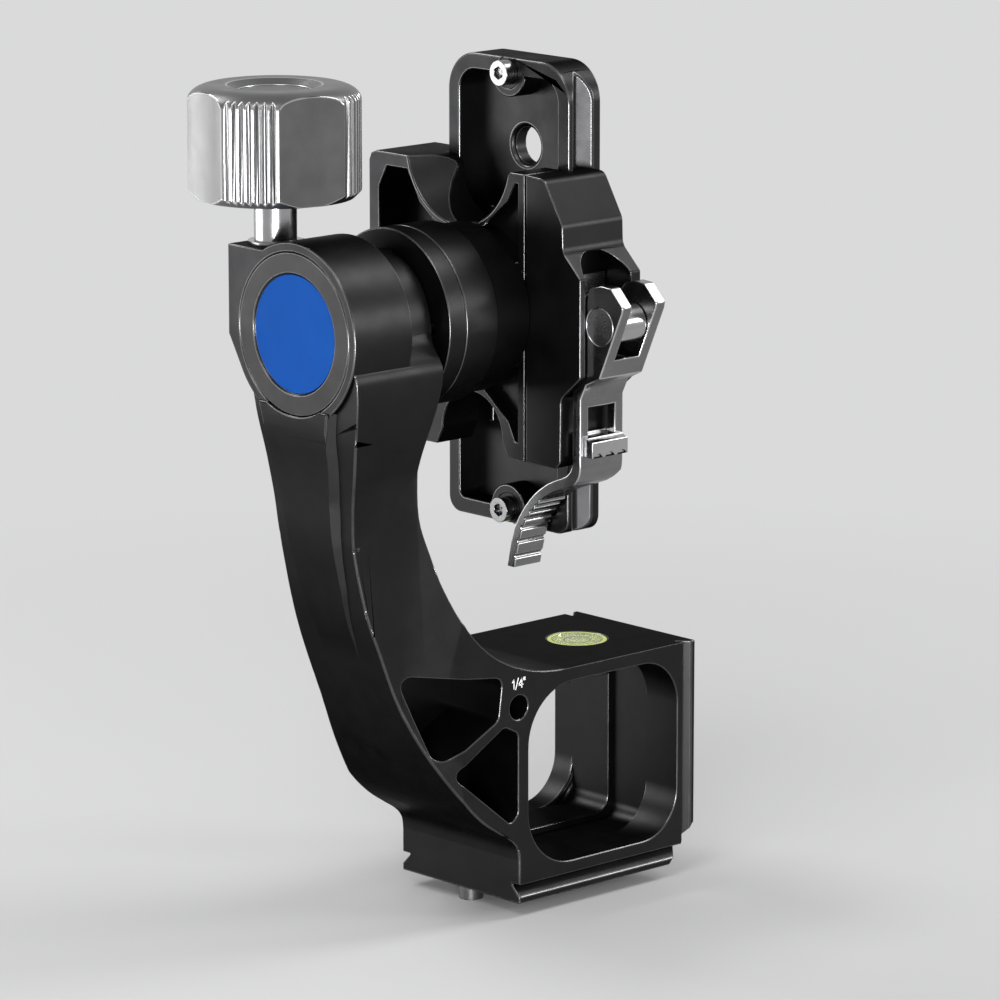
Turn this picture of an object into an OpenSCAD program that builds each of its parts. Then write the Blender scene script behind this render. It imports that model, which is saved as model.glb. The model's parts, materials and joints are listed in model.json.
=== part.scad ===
// Gimbal tripod head: a J-shaped arm with a dovetail foot, a tilting hub with a locking knob,
// and a lever clamp that holds a long lens plate. Sizes in millimetres.

/* [Foot and box] */

// length of the box along the tilt axis
box_l = 53.5; // [46:0.5:62]
// width of the dovetail, foot and box alike
dove_w = 38; // [36:0.5:40]
// height of the box
box_h = 50.4; // [44:0.2:58]
// height of the foot below the arm's curve
foot_h = 10.7; // [9:0.1:14]
// thickness of the wall at the box's free end
end_wall_t = 5.5; // [4.5:0.1:9]
// thickness of the box's top
roof_t = 3; // [2:0.1:6]
// radius of the tapping for a 3/8 inch screw
foot_thread_r = 4.1; // [3.9:0.05:4.8]
// radius of the tapping for a 1/4 inch screw
side_thread_r = 2.65; // [2.5:0.05:3.2]

/* [Tilt axis] */

// height of the tilt axis above the foot
axis_z = 129.5; // [120:0.5:140]
// radius of the hub
hub_r = 19.5; // [18.5:0.1:21]
// length of the wide part of the hub
hub_l = 16.2; // [15:0.1:18]
// radius of the neck that carries the bearings
neck_r = 15.5; // [14.5:0.1:17]
// radius of the turning flange
flange_r = 19.6; // [18.5:0.1:21]
// radius of the journal in the bearings
journal_r = 7.5; // [6.5:0.1:8]
// number of balls in each bearing
ball_n = 11; // [7:1:12]

/* [Lock knob] */

// radius of the knob
knob_r = 18.4; // [15:0.1:21]
// height of the knob
knob_h = 24; // [18:0.5:28]
// number of grooves in each grip zone
groove_n = 7; // [3:1:9]
// radius of the knob's shaft
shaft_r = 4.6; // [3.8:0.1:5.4]

/* [Clamp] */

// length of the clamp along the plate
clamp_l = 62.4; // [56:0.2:70]
// depth of the clamp from its back to the tips of the jaws
clamp_d = 17.9; // [16.5:0.1:20]
// travel of the moving jaw
jaw_travel = 2.4; // [1:0.1:2.4]
// width of the lever across its ears
lever_w = 12.7; // [11.7:0.1:13.2]
// thickness of the lever's strap
strap_t = 2.5; // [2:0.1:2.8]

/* [Lens plate] */

// length of the plate
plate_l = 102.4; // [90:0.2:120]
// thickness of the plate
plate_t = 9.5; // [8.5:0.1:11]
// distance of the plate's middle above the tilt axis
plate_shift = 1.6; // [-4:0.2:4]

/* [Hidden] */

$fn = 96;
eps = 0.01;
press = 0.04;
run = 0.06;
slip = 0.3;
fine = 0.6;
// cuts reach this far past what they open
over = 1;

// places along the tilt axis, measured from the foot's left face
thread_x = 24;
hub_x = -47.3;
neck_x = hub_x + hub_l;
neck_end_x = -22.3;
flange_x = -20.7;
flange_t = 4.8;
joint_gap = 0.1;
boss_x = -6.1;
back_x = 3.6;
plate_x = 14.2;
floor_x = plate_x - run;
half_w = dove_w / 2;
clamp_h = clamp_l / 2;

// dovetail
lip_t = 1.5;
vee_d = 2.3;
vee_flat = 0.3;
end_lip_t = 1.2;
lip_end_x = box_l - 7.5;
corner_cut = 8.6;

// window
win_x = 2.8;
win_z = 7;
win_r = 10.5;
win_big_r = 13;
window_l = box_l - win_x - end_wall_t;
window_h = box_h - win_z - roof_t;
win_near_d = 10;
win_step = 1.5;
win_far_d = 16;
win_lip = 6;
thread_floor = 0.8;
side_thread_x = -0.2;
side_thread_z = 44.2;
side_thread_d = 14;

// arm
bend_x = -16;
arm_top_z = 100;
panel_rise = 1.8;
panel_slope = 2;
panel_in_x = -10;

// hub
cap_r = 17.4;
cap_t = 2.9;
badge_r = 12.6;
badge_t = 1;
badge_sink = 0.35;
drum_r = 9.5;
drum_l = 10;
shaft_bore_l = 8;
collar_r = 12;
collar_w = 7.6;
collar_gap = 1.5;
lug_y = 17.6;
lug_h = 4.6;
stud_r = 2;
stud_hole_r = 2.3;
brake_travel = 0.5;
knob_y = 14.9;
knob_x = hub_x + hub_l / 2;
boss_side = 21.1;
boss_top = 16.8;
boss_blend_y = 9.5;
boss_low = -2.5;
boss_turn = 27;
boss_blend = [[4, hub_r - 0.4], [6.5, boss_top + 1]];
nut_h = 2.6;
nut_in = 2.9;
nut_out = 2.35;
nut_x = 6.6;
washer_t = 0.6;
washer_r = 5.9;
knob_lift = 9.2;

// bearings
bearing_w = 5;
bearing_seat_x = neck_x - 2;
bearing_r = 12;
ring_t = 1.55;
ball_r = 1.15;
cage_t = 0.8;
cage_w = 3.2;

// screws
m3_r = 1.5;
m3_head_r = 2.75;
m3_head_h = 3;
m3_hex_r = 1.44;
m4_r = 2;
m4_head_r = 3.5;
m4_head_h = 4;
m4_hex_r = 1.73;
m6_r = 3;
m6_head_r = 5;
m6_head_h = 3.4;
m6_hex_r = 2.89;
hex_depth_share = 0.6;
screw_ring_r = 13.4;
hub_screw_l = 20;
flange_screw_l = 9.4;
clamp_screw_l = 23;

// level
level_x = box_l - 18.2;
level_r = 6.7;
level_ring = 1;
level_d = 4.4;
level_floor = 0.8;
level_sink = 0.1;
level_lens_t = 1;
bubble_r = 1.9;
bubble_flat = 0.7;
level_boss_r = 9;
level_boss_h = 3.8;

// clamp
body_edge = -16.4;
jaw_gap = 0.5;
jaw_edge = body_edge - jaw_gap;
jaw_out = 33.2;
clamp_drop = 0.9;
body_bevel = 2.2;
notch_r = 9.5;
notch_flare = 3;
top_notch_r = 10.8;
top_notch_y = 3;
top_notch_z = 29;
scoop_r = 16.3;
scoop_y = 4.6;
scoop_z = 34.1;
scoop_d = 9.2;
scoop_slope = 0.65;
jaw_shoulder = 28.2;
jaw_wide = 33.7;
jaw_wide_h = 10.7;
fin_near = 1.7;
fin_far = 2.9;
slot_reach = 11.5;
wear_t = 1;
pin_y = -37.6;
pin_r = 2.5;
pin_head_r = 4;
pin_head_t = 0.8;
ear_t = 2.8;
rod_r = 2;
rod_x = 10.9;
eye_r = 4.2;
guide_r = 2;
guide_z = 16;
guide_x = 9.6;
spring_r = 3.1;
spring_wire = 0.35;
spring_turns = 5;
coil_steps = 14;
spring_seat_d = 5;
guide_in = 8.8;
guide_out = 8.4;
nut_seat_d = 5;
rod_nut_h = 3.2;
rod_tail = 1.4;
neck_share = 1.2;
eye_neck = 1.6;
lever_x = back_x + fin_near + slip;
slot_x = back_x + fin_near;
slot_w = lever_w + 2 * slip;

// plate
plate_z = axis_z + plate_shift;
plate_vee = 2.8;
nose_gap = 0.45;
plate_lip = 1.5;
plate_r = 8.5;
plate_low_r = 3.5;
pocket_d = 5.4;
pocket_rim = 3.6;
stop_end = 3.2;
stop_boss_r = 5.4;
stop_seat = 0.2;
stop_room = 0.7;
stop_screw_l = 4.8;
stop_hole_d = 6.4;

// shaping helpers

function mix(a, b, t) = a + (b - a) * t;

function spline(p, i, t) =
    let (a = p[max(i - 1, 0)], b = p[i], c = p[i + 1], d = p[min(i + 2, len(p) - 1)])
    ((b * 2) + (c - a) * t + (a * 2 - b * 5 + c * 4 - d) * t * t + (b * 3 - a - c * 3 + d) * t * t * t) / 2;

function smooth(p, n) = concat(
    [for (i = [0 : len(p) - 2]) for (k = [0 : n - 1]) spline(p, i, k / n)],
    [p[len(p) - 1]]
);

function turned(p) = [for (i = [len(p) - 1 : -1 : 0]) p[i]];

module place() {
    translate([-thread_x, 0, 0])
    children();
}

module rod(x0, x1, r) {
    translate([x0, 0, 0])
    rotate([0, 90, 0])
    cylinder(h = x1 - x0, r = r);
}

module ring(x0, x1, r0, r1) {
    difference() {
        rod(x0, x1, r1);
        rod(x0 - over, x1 + over, r0);
    }
}

// a drawing in X and Z, given thickness along Y from y0 to y1
module side_plate(y0, y1) {
    translate([0, y1, 0])
    rotate([90, 0, 0])
    linear_extrude(y1 - y0)
    children();
}

// a drawing in Y and Z, given thickness along X from x0 to x1
module face_plate(x0, x1) {
    translate([x0, 0, 0])
    rotate([90, 0, 90])
    linear_extrude(x1 - x0)
    children();
}

module round_box(a, b, r) {
    for (x = [a[0] + r, b[0] - r], y = [a[1] + r, b[1] - r])
        translate([x, y])
        circle(r);
    translate([a[0] + r, a[1]])
    square([b[0] - a[0] - 2 * r, b[1] - a[1]]);
    translate([a[0], a[1] + r])
    square([b[0] - a[0], b[1] - a[1] - 2 * r]);
}

// socket screw with its head's top at x = 0, shank towards -X
module socket_screw(r, length, head_r, head_h, hex_r) {
    difference() {
        union() {
            rod(-head_h, 0, head_r);
            rod(-head_h - length, -head_h, r);
        }
        translate([-head_h * hex_depth_share, 0, 0])
        rotate([0, 90, 0])
        cylinder(h = head_h, r = hex_r, $fn = 6);
    }
}

// outline of the arm in X and Z
arm_outer = [
    [-46.7, 129.5], [-46.6, 124], [-46.3, 118], [-45.6, 109.4], [-43.9, 101], [-42.5, 92.6], [-41.6, 85],
    [-40.1, 77.5], [-37.8, 68.5], [-34.8, 60.2], [-30.4, 49.4], [-25.2, 39], [-20.2, 31], [-15.3, 24.5],
    [-10.6, 20], [-6.2, 17], [-3, 15], [-1.2, 13.4], [-0.3, 11.8], [0, foot_h - 1.2]
];
arm_inner = [
    [-22.3, 129.5], [-22.2, 124], [-22.1, 119.5], [-23.1, 114], [-24.6, 107], [-25.4, 99.6], [-25.2, 89.2],
    [-23, 81], [-20, 72.6], [-15, 63.6], [-6.5, 56], [4.1, 51.7], [15, box_h]
];

module arm_side_outline() {
    polygon(concat(
        smooth(arm_outer, 4),
        [[box_l / 2, foot_h], [box_l / 2, box_h]],
        smooth(turned(arm_inner), 4)
    ));
}

// share of the panel's rise at each height
panel_share = [[30, -0.5], [56, -0.1], [64, 0.3], [90, 1]];

module panel_side_outline() {
    polygon(concat(
        [for (p = smooth(arm_outer, 4)) [p[0] - panel_rise * lookup(p[1], panel_share), p[1]]],
        [[box_l / 2, foot_h], [panel_in_x, axis_z]]
    ));
}

// half widths of the arm seen from above, and of its flare seen from the cap's side
arm_half = [[-52, 12], [-40, 12], [-34.8, 12.8], [-29, 13.3], [-21.7, 16.4], [bend_x, half_w]];
flare_half = [
    [12, 84], [13, 92.6], [15.2, 101], [17.7, 109.4], [18.8, 115.5], [19.1, 120], [18.9, 122],
    [18.2, 123.6], [17.1, 125.2], [16.1, 127], [15.4, 129.3]
];
flare_far = [
    [12, 84], [12.5, 92.6], [12.9, 98], [13.4, 105], [14.2, 112], [15, 117.5], [15.5, 121], [15.7, 124],
    [15.4, 129.3]
];

module arm_plan() {
    polygon(concat(
        [for (p = smooth(arm_half, 3)) [p[0], -p[1]]],
        [[box_l, -half_w], [box_l, half_w]],
        [for (p = turned(smooth(arm_half, 3))) p]
    ));
}

module flare_outline() {
    polygon(concat(
        smooth(flare_far, 4),
        [for (p = turned(smooth(flare_half, 4))) [-p[0], p[1]]]
    ));
}

// one slice of the raised panel's slanting sides
panel_half = [[41, 0.6], [52, 2.6], [63, 4.4], [74, 5.8], [84, 6.6], [94, 7.4], [104, 9], [114, 10.6]];

function arm_outer_x(z) =
    lookup(z, [for (p = turned(arm_outer)) [p[1], p[0]]]);

module panel_slice(i) {
    z = panel_half[i][0];
    w = panel_half[i][1];
    x = arm_outer_x(z);
    translate([0, 0, z])
    linear_extrude(eps)
    polygon([
        [x - 2 * panel_rise, w - panel_slope / 2], [x + panel_rise, w + 3 * panel_slope / 2],
        [x + 6 * panel_rise, w + 3 * panel_slope / 2], [x + 6 * panel_rise, -w - 3 * panel_slope / 2],
        [x + panel_rise, -w - 3 * panel_slope / 2], [x - 2 * panel_rise, -w + panel_slope / 2]
    ]);
}

module panel() {
    intersection() {
        side_plate(-half_w, half_w)
        panel_side_outline();
        for (i = [0 : len(panel_half) - 2])
            hull() {
                panel_slice(i);
                panel_slice(i + 1);
            }
    }
}

module hub_outline() {
    circle(hub_r);
    intersection() {
        polygon([
            [boss_side, boss_top], [boss_side, boss_low], [hub_r * cos(boss_turn), -hub_r * sin(boss_turn)],
            [0, 0], [0, hub_r], each boss_blend, [boss_blend_y, boss_top]
        ]);
        translate([-hub_r, -hub_r])
        square([hub_r + boss_side, 2 * hub_r]);
    }
}

module foot_outline() {
    w = half_w;
    polygon([
        [-w, 0], [w, 0], [w, lip_t], [w - vee_d, lip_t + vee_d], [w - vee_d, lip_t + vee_d + vee_flat],
        [w, lip_t + vee_d + vee_flat], [w, box_h], [-w, box_h], [-w, lip_t + vee_d + vee_flat],
        [-w + vee_d, lip_t + vee_d + vee_flat], [-w + vee_d, lip_t + vee_d], [-w, lip_t]
    ]);
}

module end_plan() {
    w = half_w;
    polygon([
        [-over, -w], [box_l - end_lip_t - vee_d - vee_flat, -w],
        [box_l - end_lip_t - vee_d - vee_flat, -w + vee_d], [box_l - end_lip_t - vee_d, -w + vee_d],
        [box_l - end_lip_t, -w], [box_l, -w], [box_l, w], [box_l - end_lip_t, w],
        [box_l - end_lip_t - vee_d, w - vee_d], [box_l - end_lip_t - vee_d - vee_flat, w - vee_d],
        [box_l - end_lip_t - vee_d - vee_flat, w], [-over, w]
    ]);
}

module box_side_outline() {
    polygon([[0, 0], [lip_end_x, 0], [box_l, corner_cut], [box_l, box_h], [0, box_h]]);
}

module window_outline(grow, r, big_r) {
    x0 = win_x - grow;
    x1 = win_x + window_l + grow;
    z0 = win_z - grow;
    z1 = win_z + window_h + grow;
    intersection() {
        round_box([x0, z0], [x1, z1], r);
        round_box([x0, z0], [x1 + big_r, z1], big_r);
    }
}

upper_tri = [[-30.3, 54.9], [-5, 51.4], [-6.2, 42.3], [-22, 34.4]];
lower_tri = [[-4.4, 40.4], [-0.4, 38.4], [-0.4, 20.2], [-2.6, 18.5], [-19.2, 31.9]];

upper_tri_r = [2, 2, 2, 2.8];
lower_tri_r = [1.8, 1.8, 2, 1.4, 2];

// a polygon with its corners rounded by arcs of r
function arc_corner(a, b, c, r, n) =
    let (
        u = (a - b) / norm(a - b), v = (c - b) / norm(c - b),
        half = acos(u * v) / 2,
        mid = (u + v) / norm(u + v),
        o = b + mid * r / sin(half),
        p0 = b + u * r / tan(half), p1 = b + v * r / tan(half),
        s = atan2(p0[1] - o[1], p0[0] - o[0]), e = atan2(p1[1] - o[1], p1[0] - o[0]),
        d = e - s, turn = d > 180 ? d - 360 : d < -180 ? d + 360 : d
    )
    [for (k = [0 : n]) o + r * [cos(s + turn * k / n), sin(s + turn * k / n)]];

function soft(p, r, n = 5) = [
    for (i = [0 : len(p) - 1])
        each arc_corner(p[(i + len(p) - 1) % len(p)], p[i], p[(i + 1) % len(p)], is_list(r) ? r[i] : r, n)
];

// the arm with its box and foot

module cavity() {
    x0 = hub_x + cap_t + 3 * press;
    rod(hub_x - over, x0, cap_r + press);
    rod(x0 - eps, bearing_seat_x, collar_r + slip);
    rod(bearing_seat_x - eps, neck_end_x + over, bearing_r);
    // room for the collar's lugs and the nut
    low = -lug_h - nut_h / 2 - run - brake_travel - slip;
    translate([knob_x - collar_w / 2 - slip, 0, low])
    cube([collar_w + 2 * slip, lug_y + slip, lug_h - low + slip]);
    translate([knob_x, knob_y, 0])
    cylinder(h = boss_top + over, r = stud_hole_r);
    // spot face for the washer
    translate([knob_x, knob_y, boss_top])
    cylinder(h = boss_top, r = washer_r + joint_gap);
}

module window_cut() {
    side_plate(-half_w - over, -half_w + win_near_d)
    window_outline(0, win_r, win_big_r);
    side_plate(-half_w + win_near_d - eps, win_step)
    window_outline(0, win_r / 3, win_big_r / 2);
    side_plate(win_step - eps, half_w - win_lip)
    window_outline(-win_step, win_r / 3, win_big_r / 2);
    side_plate(half_w - win_lip - eps, half_w + over)
    window_outline(-win_step, win_r, win_big_r);
}

module foot_screw_holes() {
    for (x = [stop_end, lip_end_x - stop_end])
        translate([x, 0, -over])
        cylinder(h = win_z - thread_floor + over, r = m3_r + press);
}

module arm() {
    color([0.05, 0.05, 0.055])
    place()
    difference() {
        union() {
            // the box on its dovetail foot, with the end dovetail
            intersection() {
                face_plate(0, box_l)
                foot_outline();
                side_plate(-half_w, half_w)
                box_side_outline();
                linear_extrude(box_h)
                end_plan();
            }
            // the J
            intersection() {
                side_plate(-half_w, half_w)
                arm_side_outline();
                linear_extrude(axis_z)
                arm_plan();
                face_plate(hub_x, box_l / 2)
                polygon([[-half_w, 0], [half_w, 0], [half_w, arm_top_z], [-half_w, arm_top_z]]);
            }
            intersection() {
                side_plate(-hub_r, hub_r)
                arm_side_outline();
                face_plate(hub_x, 0)
                flare_outline();
            }
            panel();
            // the hub and its neck
            translate([0, 0, axis_z]) {
                face_plate(hub_x, neck_x)
                hub_outline();
                rod(neck_x - over, neck_end_x, neck_r);
            }
            // a pad under the level
            translate([level_x, 0, box_h - level_boss_h - 2 * lip_t])
            cylinder(h = level_boss_h + lip_t, r = level_boss_r);
        }
        translate([0, 0, axis_z])
        cavity();
        difference() {
            window_cut();
            translate([level_x, 0, box_h - level_boss_h - 2 * lip_t])
            cylinder(h = box_h, r = level_boss_r);
        }
        for (s = [-1, 1])
            scale([1, s, 1]) {
                side_plate(-half_w - over, -half_w + win_far_d)
                polygon(soft(upper_tri, upper_tri_r));
                side_plate(-half_w - over, -half_w + win_far_d)
                polygon(soft(lower_tri, lower_tri_r));
            }
        // the level's seat
        translate([level_x, 0, box_h - level_d])
        cylinder(h = level_d + over, r = level_r + press);
        // tappings
        translate([thread_x, 0, -over])
        cylinder(h = win_z - thread_floor + over, r = foot_thread_r);
        translate([side_thread_x, -half_w - over, side_thread_z])
        rotate([-90, 0, 0])
        cylinder(h = side_thread_d + over, r = side_thread_r);
        foot_screw_holes();
    }
}

module foot_stop_screws() {
    color([0.8, 0.8, 0.82])
    place()
    for (x = [stop_end, lip_end_x - stop_end])
        translate([x, 0, -m3_head_h - press])
        rotate([0, 90, 0])
        socket_screw(m3_r, win_z - 2 * thread_floor, m3_head_r, m3_head_h, m3_hex_r);
}

// the level

module level_cup() {
    color([0.55, 0.56, 0.5])
    place()
    translate([level_x, 0, box_h - level_d + press])
    difference() {
        cylinder(h = level_d - press - level_sink, r = level_r);
        translate([0, 0, level_floor])
        cylinder(h = level_d, r = level_r - level_ring);
    }
}

module bubble_shape(grow) {
    intersection() {
        sphere(bubble_r + grow);
        translate([-bubble_r * 2, -bubble_r * 2, -bubble_flat - grow])
        cube([bubble_r * 4, bubble_r * 4, 2 * (bubble_flat + grow)]);
    }
}

module level_fluid() {
    h = level_d - level_floor - level_lens_t - level_sink - 3 * press;
    color([0.72, 0.85, 0.15])
    place()
    translate([level_x, 0, box_h - level_d + level_floor + 2 * press])
    difference() {
        cylinder(h = h, r = level_r - level_ring - press);
        translate([0, 0, h - bubble_flat - 2 * press])
        bubble_shape(press);
    }
}

module level_bubble() {
    h = level_d - level_floor - level_lens_t - level_sink - 3 * press;
    color([0.9, 0.95, 0.7])
    place()
    translate([level_x, 0, box_h - level_d + level_floor + 2 * press + h - bubble_flat - 2 * press])
    bubble_shape(0);
}

module level_lens() {
    color([0.85, 0.92, 0.4])
    place()
    translate([level_x, 0, box_h - level_sink - level_lens_t])
    cylinder(h = level_lens_t, r = level_r - level_ring - press);
}

// the tilt shaft and its bearings

bearing_x0 = bearing_seat_x + fine / 2;
bearing_x1 = bearing_x0 + bearing_w + press;
collar_x = knob_x;

module tilt_shaft() {
    color([0.6, 0.61, 0.62])
    place()
    translate([0, 0, axis_z])
    difference() {
        union() {
            rod(collar_x - drum_l / 2, bearing_x0 - press, drum_r);
            rod(bearing_x0 - over, flange_x + flange_t + joint_gap + fine, journal_r);
        }
        rod(neck_end_x - shaft_bore_l, 0, m6_r + press);
    }
}

module each_bearing() {
    for (x = [bearing_x0, bearing_x1])
        translate([x, 0, 0])
        children();
}

module race_groove() {
    translate([bearing_w / 2, 0, 0])
    rotate([0, 90, 0])
    rotate_extrude()
    translate([(bearing_r + journal_r) / 2, 0])
    circle(ball_r + press);
}

module bearing_outer_rings() {
    color([0.7, 0.71, 0.72])
    place()
    translate([0, 0, axis_z])
    each_bearing()
    difference() {
        ring(0, bearing_w, bearing_r - ring_t, bearing_r - press);
        race_groove();
    }
}

module bearing_inner_rings() {
    color([0.7, 0.71, 0.72])
    place()
    translate([0, 0, axis_z])
    each_bearing()
    difference() {
        ring(0, bearing_w, journal_r + press, journal_r + ring_t);
        race_groove();
    }
}

module at_balls() {
    for (k = [0 : ball_n - 1])
        rotate([k * 360 / ball_n, 0, 0])
        translate([bearing_w / 2, 0, (bearing_r + journal_r) / 2])
        children();
}

module bearing_balls() {
    color([0.8, 0.81, 0.82])
    place()
    translate([0, 0, axis_z])
    each_bearing()
    at_balls()
    sphere(ball_r, $fn = 32);
}

module bearing_cages() {
    mid = (bearing_r + journal_r) / 2;
    color([0.6, 0.5, 0.3])
    place()
    translate([0, 0, axis_z])
    each_bearing()
    difference() {
        ring((bearing_w - cage_w) / 2, (bearing_w + cage_w) / 2, mid - cage_t / 2, mid + cage_t / 2);
        at_balls()
        cylinder(h = 4 * ball_r, r = ball_r + press, center = true);
    }
}

// the brake inside the hub

module brake_collar() {
    color([0.62, 0.5, 0.25])
    place()
    translate([collar_x - collar_w / 2, 0, axis_z])
    difference() {
        union() {
            rod(0, collar_w, collar_r);
            translate([0, drum_r, -lug_h + nut_h / 2])
            cube([collar_w, lug_y - drum_r, 2 * lug_h - nut_h / 2]);
        }
        rod(-over, collar_w + over, drum_r + run);
        translate([-over, 0, -collar_gap / 2])
        cube([collar_w + 2 * over, 2 * collar_r, collar_gap]);
        translate([collar_w / 2, knob_y, -lug_h])
        cylinder(h = 3 * lug_h, r = stud_hole_r);
    }
}

module brake_nut() {
    color([0.6, 0.61, 0.62])
    place()
    translate([knob_x, knob_y, axis_z - lug_h + nut_h / 2 - run])
    difference() {
        translate([-nut_x / 2, -nut_in, -nut_h])
        cube([nut_x, nut_in + nut_out, nut_h]);
        translate([0, 0, -nut_h - over])
        cylinder(h = nut_h + 2 * over, r = stud_r + press);
    }
}

module hub_cap() {
    color([0.1, 0.1, 0.11])
    place()
    translate([0, 0, axis_z])
    difference() {
        rod(hub_x, hub_x + cap_t, cap_r);
        rod(hub_x - over, hub_x + badge_sink + badge_t + press, badge_r + press);
        rod(hub_x - over, hub_x + badge_sink, badge_r + fine / 2);
    }
}

module badge_disc() {
    color([0.03, 0.18, 0.6])
    place()
    translate([0, 0, axis_z])
    rod(hub_x + badge_sink, hub_x + badge_sink + badge_t, badge_r);
}

// the knob

knob_z = axis_z + boss_top + washer_t + knob_lift;
knob_edge = 5.2;
knob_chamfer = 1.6;
knob_dish_r = 10.2;
knob_dish_d = 1.1;
knob_insert_r = 7.6;
groove_pitch = 5.3;
groove_d = 0.8;
groove_out = 0.3;
flat_turn = 77;
flat_half = 26;
flat_share = 0.9135;
flat_hollow = 0.25;
flat_steps = 8;
edge_share = 0.62;
tang_share = 0.75;

module knob_turned_outline() {
    polygon(concat(
        [[0, 0], [knob_r - knob_chamfer, 0], [knob_r, knob_chamfer]],
        [for (a = [0 : 10 : 90]) [
            knob_r - knob_edge + knob_edge * cos(a), knob_h - knob_edge * edge_share * (1 - sin(a))
        ]],
        [[knob_dish_r, knob_h], [knob_insert_r + fine, knob_h - knob_dish_d], [0, knob_h - knob_dish_d]]
    ));
}

function flat_point(a, i) = let (u = 2 * i / flat_steps - 1)
    (knob_r * flat_share / cos(u * flat_half) - flat_hollow * (1 - u * u)) * [
        cos(a + u * flat_half), sin(a + u * flat_half)
    ];

function groove_point(a, k) = let (b = a + 45 + (k - groove_n) * groove_pitch / 2)
    (k % 2 == 0 ? knob_r + groove_out : knob_r - groove_d) * [cos(b), sin(b)];

// four shallow finger flats with upright grooves between them
module knob_plan() {
    polygon([for (q = [0 : 3]) let (a = q * 90 + flat_turn) each concat(
        [for (i = [0 : flat_steps]) flat_point(a, i)],
        [for (k = [0 : 2 * groove_n]) groove_point(a, k)]
    )]);
}

module knob() {
    color([0.75, 0.75, 0.76])
    place()
    translate([knob_x, knob_y, knob_z])
    difference() {
        intersection() {
            rotate_extrude()
            knob_turned_outline();
            translate([0, 0, -over])
            linear_extrude(knob_h + 2 * over)
            knob_plan();
        }
        translate([0, 0, -over])
        cylinder(h = knob_h - 4 * knob_dish_d, r = shaft_r * tang_share + press);
        translate([0, 0, knob_h - 2 * knob_dish_d])
        cylinder(h = 2 * knob_dish_d, r = knob_insert_r + press);
    }
}

module knob_cap() {
    color([0.3, 0.3, 0.31])
    place()
    translate([knob_x, knob_y, knob_z + knob_h - 2 * knob_dish_d + press])
    cylinder(h = knob_dish_d - fine / 2, r = knob_insert_r);
}

module knob_stud() {
    z0 = axis_z + boss_top + washer_t + press;
    color([0.85, 0.85, 0.86])
    place()
    translate([knob_x, knob_y, 0]) {
        translate([0, 0, z0])
        cylinder(h = knob_z - z0 - press, r = shaft_r);
        translate([0, 0, knob_z - 2 * over])
        cylinder(h = knob_h - 5 * knob_dish_d, r = shaft_r * tang_share);
        translate([0, 0, axis_z - lug_h - nut_h / 2 - fine])
        cylinder(h = z0 - axis_z + lug_h + nut_h, r = stud_r);
    }
}

module knob_washer() {
    color([0.85, 0.85, 0.86])
    place()
    translate([knob_x, knob_y, axis_z + boss_top + press / 2])
    difference() {
        cylinder(h = washer_t, r = washer_r);
        translate([0, 0, -over])
        cylinder(h = washer_t + 2 * over, r = stud_hole_r);
    }
}

// the turning flange and the clamp's hub

module at_screws(turn, r) {
    for (q = [0 : 3])
        rotate([q * 90 + turn, 0, 0])
        translate([0, 0, r])
        children();
}

module tilt_flange() {
    color([0.06, 0.06, 0.065])
    place()
    translate([0, 0, axis_z])
    difference() {
        union() {
            rod(flange_x, flange_x + flange_t, flange_r);
            rod(bearing_x1 + bearing_w + press, flange_x + over, journal_r + ring_t);
        }
        rod(neck_end_x - 2 * over, 0, journal_r + press);
        at_screws(0, screw_ring_r)
        rod(flange_x - over, 0, m3_r + press);
    }
}

module clamp_hub() {
    x0 = flange_x + flange_t + joint_gap;
    color([0.06, 0.06, 0.065])
    place()
    translate([0, 0, axis_z])
    difference() {
        union() {
            rod(x0, boss_x - fine, flange_r);
            rod(x0, boss_x, flange_r - fine);
        }
        rod(x0 - over, x0 + fine + press, journal_r + press);
        rod(x0 - over, 0, m6_r + slip);
        rod(boss_x - m6_head_h - slip, 0, m6_head_r + slip);
        at_screws(0, screw_ring_r) {
            rod(x0 - over, 0, m3_r + press);
            rod(boss_x - m3_head_h - slip, 0, m3_head_r + press);
        }
        at_screws(45, screw_ring_r)
        rod(x0 + over, 0, m4_r + press);
    }
}

module hub_screw() {
    color([0.3, 0.3, 0.31])
    place()
    translate([boss_x - slip + press, 0, axis_z])
    socket_screw(m6_r, hub_screw_l, m6_head_r, m6_head_h, m6_hex_r);
}

module flange_screws() {
    color([0.3, 0.3, 0.31])
    place()
    translate([0, 0, axis_z])
    at_screws(0, screw_ring_r)
    translate([boss_x - slip + press, 0, 0])
    socket_screw(m3_r, flange_screw_l, m3_head_r, m3_head_h, m3_hex_r);
}

module clamp_screws() {
    color([0.3, 0.3, 0.31])
    place()
    translate([0, 0, axis_z])
    at_screws(45, screw_ring_r)
    translate([floor_x - fine, 0, 0])
    socket_screw(m4_r, clamp_screw_l, m4_head_r, m4_head_h, m4_hex_r);
}

// the clamp

function mirrored(p) = [for (i = [len(p) - 1 : -1 : 0]) [p[i][0], -p[i][1]]];

body_half = [
    [body_edge, clamp_h], [jaw_out - body_bevel, clamp_h],
    [jaw_out - 0.3 * body_bevel, clamp_h - 0.3 * body_bevel], [jaw_out, clamp_h - body_bevel]
];
top_notch = [
    [-7.7, 27.2], [-12.2, 31.4], [-12.2, 35], [18.6, 35], [18.6, 31.6], [17.4, 31.2], [15.6, 30.7],
    [14.4, 29.9], [13.8, 28.8]
];
step_half = [[-3.2, 17.2], [-3.2, 14.6], [-10.2, 8.7], [-14.4, 8.7], [-14.4, 28], [-13.4, 28], [-11.4, 24]];
step_d = 3;
notch_wall = 2;
pocket_half = [[11.2, 17.2], [16.8, 21.4], [20.8, 28.2], [27.4, 28.2], [29.9, 23.5]];

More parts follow.
